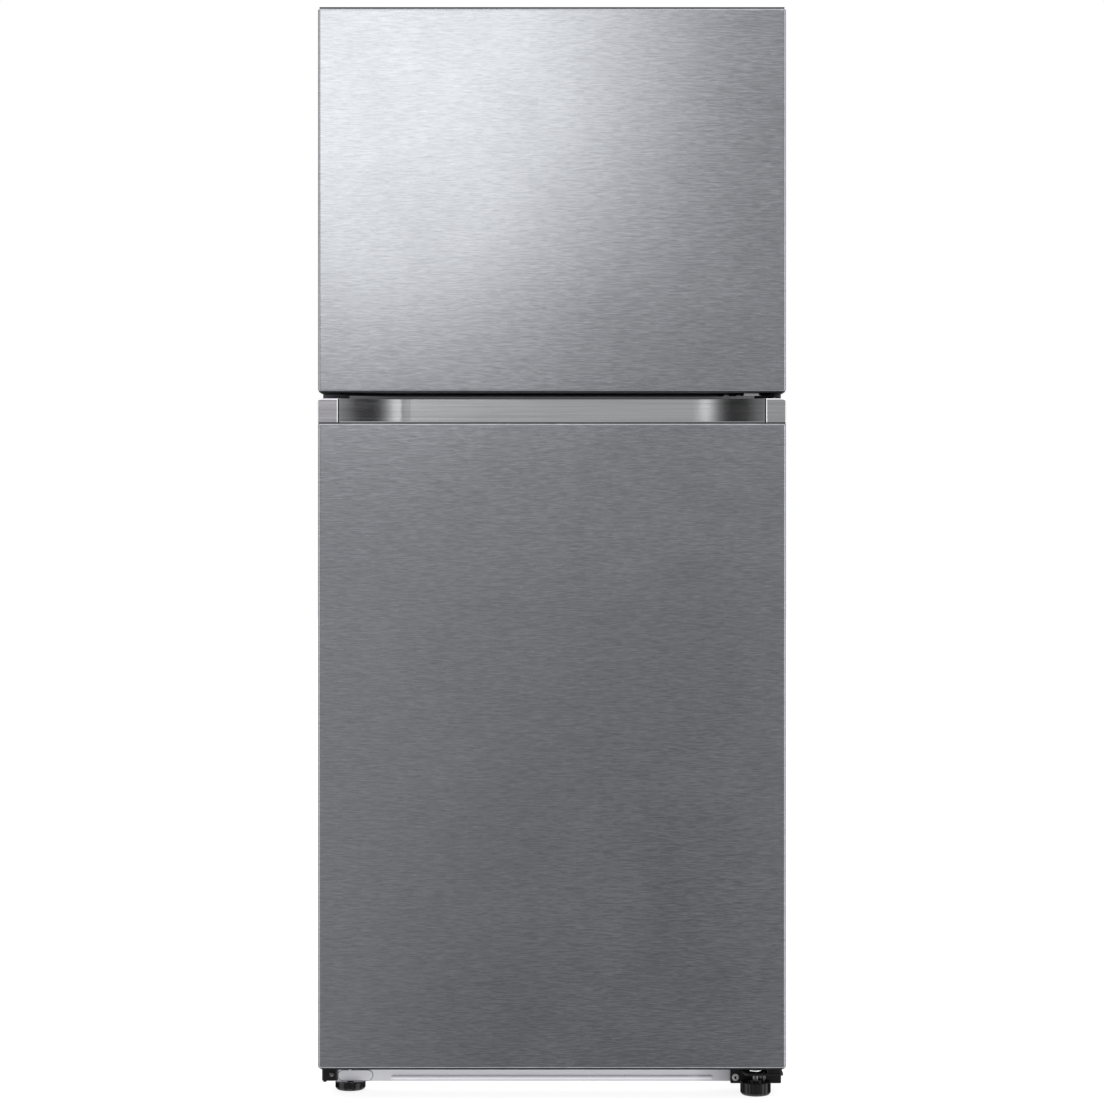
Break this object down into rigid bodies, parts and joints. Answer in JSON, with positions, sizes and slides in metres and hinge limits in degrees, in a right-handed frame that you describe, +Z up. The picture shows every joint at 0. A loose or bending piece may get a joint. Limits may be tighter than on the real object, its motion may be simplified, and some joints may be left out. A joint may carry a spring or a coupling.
{
  "type": "top freezer refrigerator",
  "caption": "Top freezer refrigerator with brushed steel doors hung on the right, a scooped handle along the fridge door's top edge, and a fitted interior.",
  "frame": {"origin": "On the floor, under the middle of the whole appliance.", "axes": "+X to the right of someone facing the doors, +Y towards the wall behind, +Z up"},
  "size_m": [0.73, 0.74, 1.7099],
  "materials": {
    "door_steel": "satin",
    "cabinet_paint": "satin",
    "galvanised": "satin",
    "black_steel": "satin",
    "bare_steel": "satin",
    "aluminium_tube": "satin",
    "black_plastic": "matte",
    "grey_plastic": "matte",
    "white_plastic": "gloss",
    "clear_plastic": "gloss",
    "shelf_glass": "gloss",
    "seal_rubber": "matte",
    "black_rubber": "matte",
    "foam": "matte"
  },
  "bodies": {
    "cabinet": {"outer_shell": "cabinet_paint", "rear_panel": "galvanised", "base_frame": "cabinet_paint", "cabinet_foam": "foam", "freezer_liner": "white_plastic", "fridge_liner": "white_plastic", "centre_rail": "cabinet_paint", "machine_base": "galvanised", "roller_axles": "bare_steel", "compressor": "black_steel", "condenser": "black_steel", "drain_pan": "black_plastic", "machine_cover": "galvanised", "cord_grommet": "black_rubber", "fan_motors": "bare_steel", "evaporator_cover": "white_plastic", "evaporator": "aluminium_tube", "freezer_shelf": "white_plastic", "ice_tray_frame": "white_plastic", "ice_bin": "clear_plastic", "glass_shelves": "shelf_glass", "shelf_rims": "white_plastic", "crisper_frame": "white_plastic", "air_duct": "white_plastic", "control_housing": "white_plastic", "light_lens": "clear_plastic", "top_hinge": "bare_steel", "top_hinge_cover": "grey_plastic", "middle_hinge": "bare_steel", "lower_hinge": "black_steel", "hinge_fasteners": "bare_steel"},
    "freezer_door": {"freezer_door_skin": "door_steel", "freezer_door_caps": "black_plastic", "freezer_door_liner": "white_plastic", "freezer_door_gasket": "seal_rubber", "freezer_door_foam": "foam", "freezer_door_bins": "clear_plastic"},
    "fridge_door": {"fridge_door_skin": "door_steel", "handle_trim": "door_steel", "fridge_door_caps": "grey_plastic", "fridge_door_liner": "white_plastic", "fridge_door_gasket": "seal_rubber", "fridge_door_foam": "foam", "fridge_door_bins": "clear_plastic", "closer_blocks": "black_plastic"},
    "dairy_cover": {"dairy_cover": "clear_plastic"},
    "left_crisper": {"left_crisper": "clear_plastic"},
    "right_crisper": {"right_crisper": "clear_plastic"},
    "left_humidity_slide": {"left_humidity_slide": "grey_plastic"},
    "right_humidity_slide": {"right_humidity_slide": "grey_plastic"},
    "temperature_dial": {"temperature_dial": "white_plastic"},
    "ice_tray": {"ice_tray": "white_plastic"},
    "evaporator_fan": {"evaporator_fan": "white_plastic"},
    "condenser_fan": {"condenser_fan": "black_plastic"},
    "left_roller": {"left_roller": "black_plastic"},
    "right_roller": {"right_roller": "black_plastic"},
    "left_leg": {"left_stud": "bare_steel", "left_foot": "black_plastic"},
    "right_leg": {"right_stud": "bare_steel", "right_foot": "black_plastic"}
  },
  "joints": [
    {"name": "freezer_door_hinge", "type": "hinge", "parent": "cabinet", "child": "freezer_door", "pos_m": [0.348, -0.324, 1.402], "axis": [0, 0, 1], "range_deg": [0, 125]},
    {"name": "fridge_door_hinge", "type": "hinge", "parent": "cabinet", "child": "fridge_door", "pos_m": [0.348, -0.324, 0.57], "axis": [0, 0, 1], "range_deg": [0, 125]},
    {"name": "dairy_cover_hinge", "type": "hinge", "parent": "fridge_door", "child": "dairy_cover", "pos_m": [0, -0.29, 0.9299], "axis": [1, 0, 0], "range_deg": [0, 75]},
    {"name": "left_crisper_slide", "type": "slide", "parent": "cabinet", "child": "left_crisper", "axis": [0, -1, 0], "range_m": [0, 0.22]},
    {"name": "right_crisper_slide", "type": "slide", "parent": "cabinet", "child": "right_crisper", "axis": [0, -1, 0], "range_m": [0, 0.22]},
    {"name": "left_humidity_travel", "type": "slide", "parent": "cabinet", "child": "left_humidity_slide", "axis": [1, 0, 0], "range_m": [0, 0.03]},
    {"name": "right_humidity_travel", "type": "slide", "parent": "cabinet", "child": "right_humidity_slide", "axis": [1, 0, 0], "range_m": [0, 0.03]},
    {"name": "temperature_dial_turn", "type": "hinge", "parent": "cabinet", "child": "temperature_dial", "pos_m": [-0.05, -0.235, 1.0462], "axis": [0, -1, 0], "range_deg": [0, 270]},
    {"name": "ice_tray_twist", "type": "hinge", "parent": "cabinet", "child": "ice_tray", "pos_m": [-0.2495, -0.05, 1.52277], "axis": [0, 1, 0], "range_deg": [0, 120], "stiffness_Nm_per_rad": 0.12, "springref_deg": -17.19},
    {"name": "evaporator_fan_spin", "type": "hinge", "parent": "cabinet", "child": "evaporator_fan", "pos_m": [0, 0.277, 1.489], "axis": [0, 1, 0], "continuous": true},
    {"name": "condenser_fan_spin", "type": "hinge", "parent": "cabinet", "child": "condenser_fan", "pos_m": [-0.042, 0.2525, 0.15], "axis": [1, 0, 0], "continuous": true},
    {"name": "left_roller_turn", "type": "hinge", "parent": "cabinet", "child": "left_roller", "pos_m": [-0.31, 0.315, 0.017], "axis": [1, 0, 0], "continuous": true},
    {"name": "right_roller_turn", "type": "hinge", "parent": "cabinet", "child": "right_roller", "pos_m": [0.31, 0.315, 0.017], "axis": [1, 0, 0], "continuous": true},
    {"name": "left_leg_screw", "type": "slide", "parent": "cabinet", "child": "left_leg", "axis": [0, 0, -1], "range_m": [0, 0.012]},
    {"name": "right_leg_screw", "type": "slide", "parent": "cabinet", "child": "right_leg", "axis": [0, 0, -1], "range_m": [0, 0.012]}
  ],
  "couplings": [
    {"joint": "left_crisper_slide", "follows": "fridge_door_hinge", "m_per_rad": 0.1},
    {"joint": "right_crisper_slide", "follows": "fridge_door_hinge", "m_per_rad": 0.1}
  ]
}
